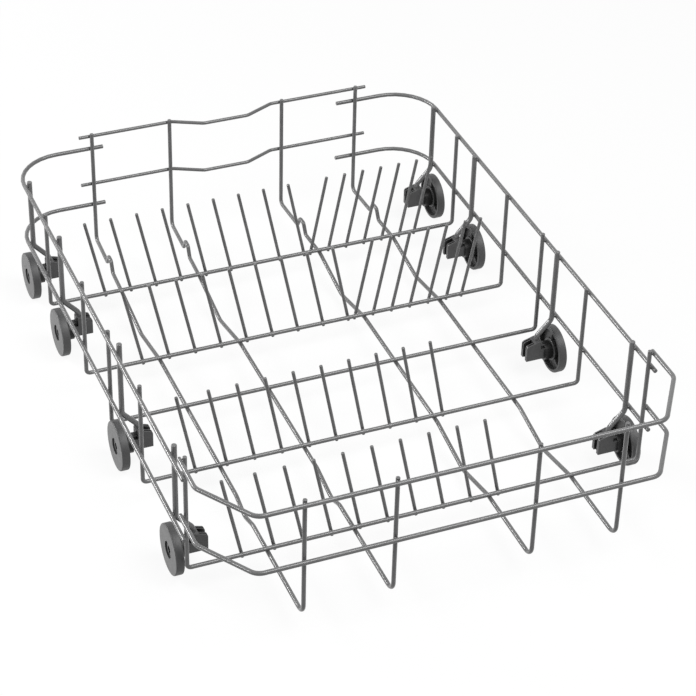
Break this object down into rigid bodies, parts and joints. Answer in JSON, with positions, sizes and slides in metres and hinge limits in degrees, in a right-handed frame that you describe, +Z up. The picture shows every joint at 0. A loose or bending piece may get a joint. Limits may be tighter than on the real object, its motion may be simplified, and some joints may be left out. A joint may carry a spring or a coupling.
{
  "type": "dishwasher basket",
  "caption": "Lower dishwasher basket of welded grey-coated wire with leaning plate tines, open rails on all sides and eight clip-fitted wheels along both sides.",
  "frame": {"origin": "on the floor under the middle of the basket", "axes": "+X to the right seen from the front, +Y to the back, +Z up"},
  "size_m": [0.3596, 0.4976, 0.1184],
  "materials": {
    "coated_wire": "satin grey plastic coating over steel wire",
    "wheel_plastic": "satin moulded plastic",
    "bracket_plastic": "satin moulded plastic"
  },
  "bodies": {
    "basket": {"cross_wire_front": "coated_wire", "cross_wire_front_mid": "coated_wire", "cross_wire_middle": "coated_wire", "cross_wire_rear_mid": "coated_wire", "cross_wire_rear": "coated_wire", "runner_left_outer": "coated_wire", "runner_left_inner": "coated_wire", "runner_right_outer": "coated_wire", "runner_right_inner": "coated_wire", "side_rail_left_lower": "coated_wire", "side_rail_left_upper": "coated_wire", "side_rail_right_lower": "coated_wire", "side_rail_right_upper": "coated_wire", "back_rail_lower": "coated_wire", "back_rail_upper": "coated_wire", "front_rail_lower": "coated_wire", "front_rail_upper": "coated_wire", "wheel_leg_left_front": "coated_wire", "wheel_leg_left_front_mid": "coated_wire", "wheel_leg_left_rear_mid": "coated_wire", "wheel_leg_left_rear": "coated_wire", "wheel_leg_right_front": "coated_wire", "wheel_leg_right_front_mid": "coated_wire", "wheel_leg_right_rear_mid": "coated_wire", "wheel_leg_right_rear": "coated_wire", "tines_rear_left": "coated_wire", "tines_rear_right": "coated_wire", "tines_rear_mid_left": "coated_wire", "tines_rear_mid_right": "coated_wire", "tines_front_mid": "coated_wire", "tines_front": "coated_wire", "wheel_bracket_left_front": "bracket_plastic", "wheel_bracket_left_front_mid": "bracket_plastic", "wheel_bracket_left_rear_mid": "bracket_plastic", "wheel_bracket_left_rear": "bracket_plastic", "wheel_bracket_right_front": "bracket_plastic", "wheel_bracket_right_front_mid": "bracket_plastic", "wheel_bracket_right_rear_mid": "bracket_plastic", "wheel_bracket_right_rear": "bracket_plastic"},
    "left_front_wheel": {"wheel_left_front": "wheel_plastic"},
    "left_front_mid_wheel": {"wheel_left_front_mid": "wheel_plastic"},
    "left_rear_mid_wheel": {"wheel_left_rear_mid": "wheel_plastic"},
    "left_rear_wheel": {"wheel_left_rear": "wheel_plastic"},
    "right_front_wheel": {"wheel_right_front": "wheel_plastic"},
    "right_front_mid_wheel": {"wheel_right_front_mid": "wheel_plastic"},
    "right_rear_mid_wheel": {"wheel_right_rear_mid": "wheel_plastic"},
    "right_rear_wheel": {"wheel_right_rear": "wheel_plastic"}
  },
  "joints": [
    {"name": "left_front_wheel_turn", "type": "hinge", "parent": "basket", "child": "left_front_wheel", "pos_m": [-0.1766, -0.1505, 0.019], "axis": [1, 0, 0], "continuous": true},
    {"name": "left_front_mid_wheel_turn", "type": "hinge", "parent": "basket", "child": "left_front_mid_wheel", "pos_m": [-0.1766, -0.0271, 0.019], "axis": [1, 0, 0], "continuous": true},
    {"name": "left_rear_mid_wheel_turn", "type": "hinge", "parent": "basket", "child": "left_rear_mid_wheel", "pos_m": [-0.1766, 0.125, 0.019], "axis": [1, 0, 0], "continuous": true},
    {"name": "left_rear_wheel_turn", "type": "hinge", "parent": "basket", "child": "left_rear_wheel", "pos_m": [-0.1766, 0.2084, 0.019], "axis": [1, 0, 0], "continuous": true},
    {"name": "right_front_wheel_turn", "type": "hinge", "parent": "basket", "child": "right_front_wheel", "pos_m": [0.1766, -0.1505, 0.019], "axis": [1, 0, 0], "continuous": true},
    {"name": "right_front_mid_wheel_turn", "type": "hinge", "parent": "basket", "child": "right_front_mid_wheel", "pos_m": [0.1766, -0.0271, 0.019], "axis": [1, 0, 0], "continuous": true},
    {"name": "right_rear_mid_wheel_turn", "type": "hinge", "parent": "basket", "child": "right_rear_mid_wheel", "pos_m": [0.1766, 0.125, 0.019], "axis": [1, 0, 0], "continuous": true},
    {"name": "right_rear_wheel_turn", "type": "hinge", "parent": "basket", "child": "right_rear_wheel", "pos_m": [0.1766, 0.2084, 0.019], "axis": [1, 0, 0], "continuous": true}
  ]
}
